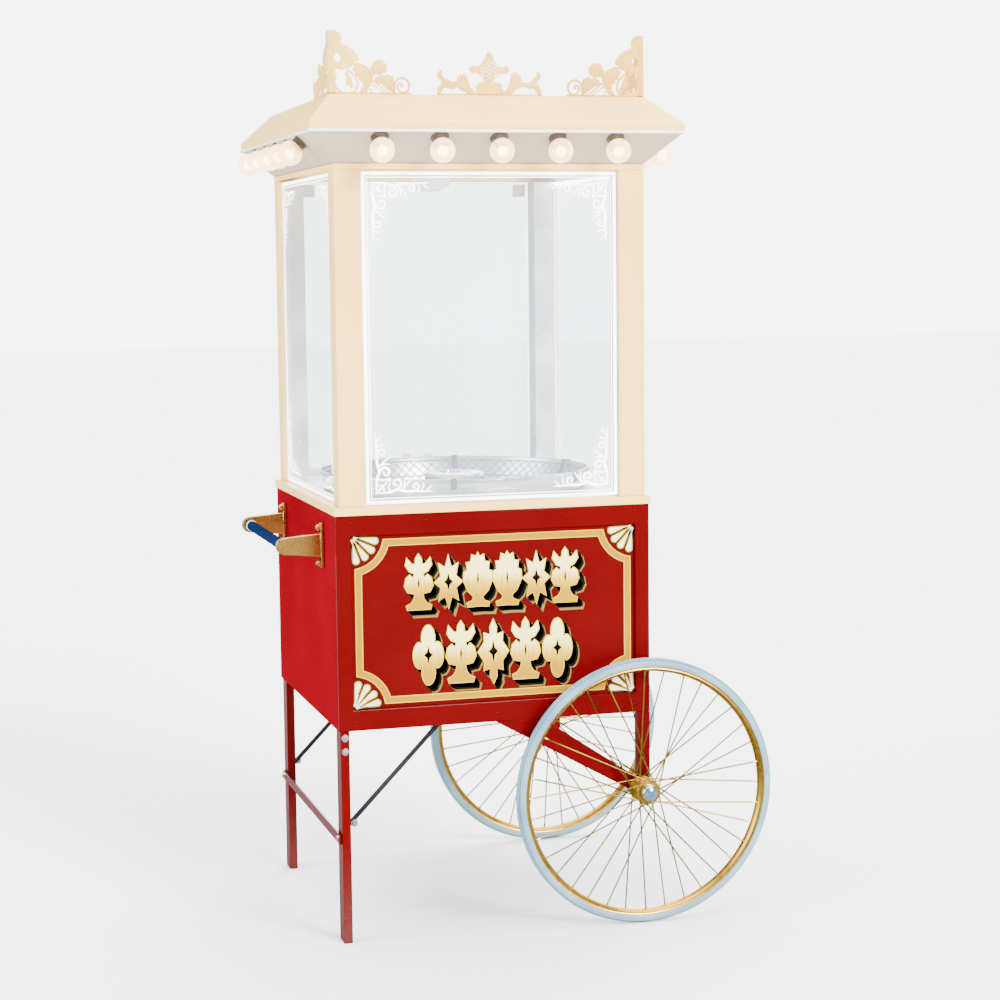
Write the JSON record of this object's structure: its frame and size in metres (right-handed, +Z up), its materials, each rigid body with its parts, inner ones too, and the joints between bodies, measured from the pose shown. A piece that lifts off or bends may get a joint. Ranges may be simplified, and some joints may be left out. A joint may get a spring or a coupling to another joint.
{
  "type": "candy floss wagon",
  "caption": "Glazed, lit candy floss vending wagon: hip-roof canopy, spinner bowl, red steel body with storage, spoked side wheels, prop legs and push handle.",
  "frame": {"origin": "on the ground, under the centre of the overall bounding box", "axes": "+Z up, -Y out of the front sign panel, +X from the handle towards the wheels"},
  "size_m": [1.1706, 0.9848, 2.1069],
  "materials": {
    "red_enamel": "deep red gloss stove enamel",
    "sign_enamel": "red gloss enamel with painted cream and gold ornament",
    "cream_enamel": "cream satin enamel",
    "canopy_enamel": "cream and pale grey satin enamel",
    "stainless": "brushed stainless steel",
    "clear_glass": "clear, with white etched border",
    "white_enamel": "white gloss enamel",
    "lamp_glass": "clear globe, lit warm",
    "cast_brass": "cast and lacquered",
    "wheel_brass": "plated, polished",
    "tyre": "pale grey rubber",
    "grip_blue": "glossy blue-black sleeve",
    "dark_steel": "dark semi-gloss paint",
    "black_plastic": "moulded",
    "cap_chrome": "polished, domed"
  },
  "bodies": {
    "wagon": {"front_frame": "red_enamel", "side_panel_left": "red_enamel", "side_panel_right": "red_enamel", "body_floor": "red_enamel", "rear_frame": "red_enamel", "leg_front": "red_enamel", "leg_rear": "red_enamel", "leg_crossbar": "red_enamel", "axle_bracket_front": "red_enamel", "axle_bracket_rear": "red_enamel", "front_panel": "sign_enamel", "counter": "cream_enamel", "post_front_left": "cream_enamel", "post_front_right": "cream_enamel", "post_rear_left": "cream_enamel", "post_rear_right": "cream_enamel", "header": "cream_enamel", "crest_left": "cream_enamel", "crest_right": "cream_enamel", "crest_centre": "cream_enamel", "soffit": "canopy_enamel", "roof": "canopy_enamel", "glass_front": "clear_glass", "glass_left": "clear_glass", "glass_right": "clear_glass", "lamps_front": "lamp_glass", "lamps_rear": "lamp_glass", "lamps_left": "lamp_glass", "lamps_right": "lamp_glass", "machine_shelf": "stainless", "control_panel": "stainless", "ceiling_lamp": "white_enamel", "motor": "dark_steel", "leg_brace_front": "dark_steel", "leg_brace_rear": "dark_steel", "stay_front": "dark_steel", "stay_rear": "dark_steel", "handle_bracket_front": "cast_brass", "handle_bracket_rear": "cast_brass", "grip": "grip_blue"},
    "wheel_front": {"tyre_front": "tyre", "rim_front": "wheel_brass", "hub_front": "wheel_brass", "hub_cap_front": "cap_chrome"},
    "wheel_rear": {"tyre_rear": "tyre", "rim_rear": "wheel_brass", "hub_rear": "wheel_brass", "hub_cap_rear": "cap_chrome"},
    "bowl": {"bowl": "stainless", "floss_net": "stainless"},
    "spinner": {"spinner_head": "stainless", "spindle": "stainless"},
    "rear_door_left": {"rear_door_left": "clear_glass"},
    "rear_door_right": {"rear_door_right": "clear_glass"},
    "storage_door": {"storage_door": "red_enamel"},
    "heat_switch": {"heat_switch": "black_plastic"},
    "lamp_switch": {"lamp_switch": "black_plastic"},
    "heat_knob": {"heat_knob": "black_plastic"}
  },
  "joints": [
    {"name": "wheel_front_spin", "type": "hinge", "parent": "wagon", "child": "wheel_front", "pos_m": [0.26365, -0.4125, 0.3217], "axis": [0, 1, 0], "continuous": true},
    {"name": "wheel_rear_spin", "type": "hinge", "parent": "wagon", "child": "wheel_rear", "pos_m": [0.26365, 0.4125, 0.3217], "axis": [0, 1, 0], "continuous": true},
    {"name": "spinner_spin", "type": "hinge", "parent": "wagon", "child": "spinner", "pos_m": [-0.09035, 0, 1], "axis": [0, 0, 1], "continuous": true},
    {"name": "bowl_lift", "type": "slide", "parent": "wagon", "child": "bowl", "axis": [0, 0, 1], "range_m": [0, 0.12]},
    {"name": "rear_door_left_swing", "type": "hinge", "parent": "wagon", "child": "rear_door_left", "pos_m": [-0.39485, 0.369, 1.41], "axis": [0, 0, 1], "range_deg": [0, 110]},
    {"name": "rear_door_right_swing", "type": "hinge", "parent": "wagon", "child": "rear_door_right", "pos_m": [0.21415, 0.369, 1.41], "axis": [0, 0, -1], "range_deg": [0, 110]},
    {"name": "storage_door_swing", "type": "hinge", "parent": "wagon", "child": "storage_door", "pos_m": [0.23165, 0.3757, 0.722], "axis": [0, 0, -1], "range_deg": [0, 110]},
    {"name": "heat_switch_rock", "type": "hinge", "parent": "wagon", "child": "heat_switch", "pos_m": [-0.34535, 0.3753, 0.955], "axis": [1, 0, 0], "range_deg": [0, 8]},
    {"name": "lamp_switch_rock", "type": "hinge", "parent": "wagon", "child": "lamp_switch", "pos_m": [-0.29535, 0.3753, 0.955], "axis": [1, 0, 0], "range_deg": [0, 8]},
    {"name": "heat_knob_turn", "type": "hinge", "parent": "wagon", "child": "heat_knob", "pos_m": [-0.16535, 0.3753, 0.955], "axis": [0, 1, 0], "range_deg": [0, 270]}
  ]
}
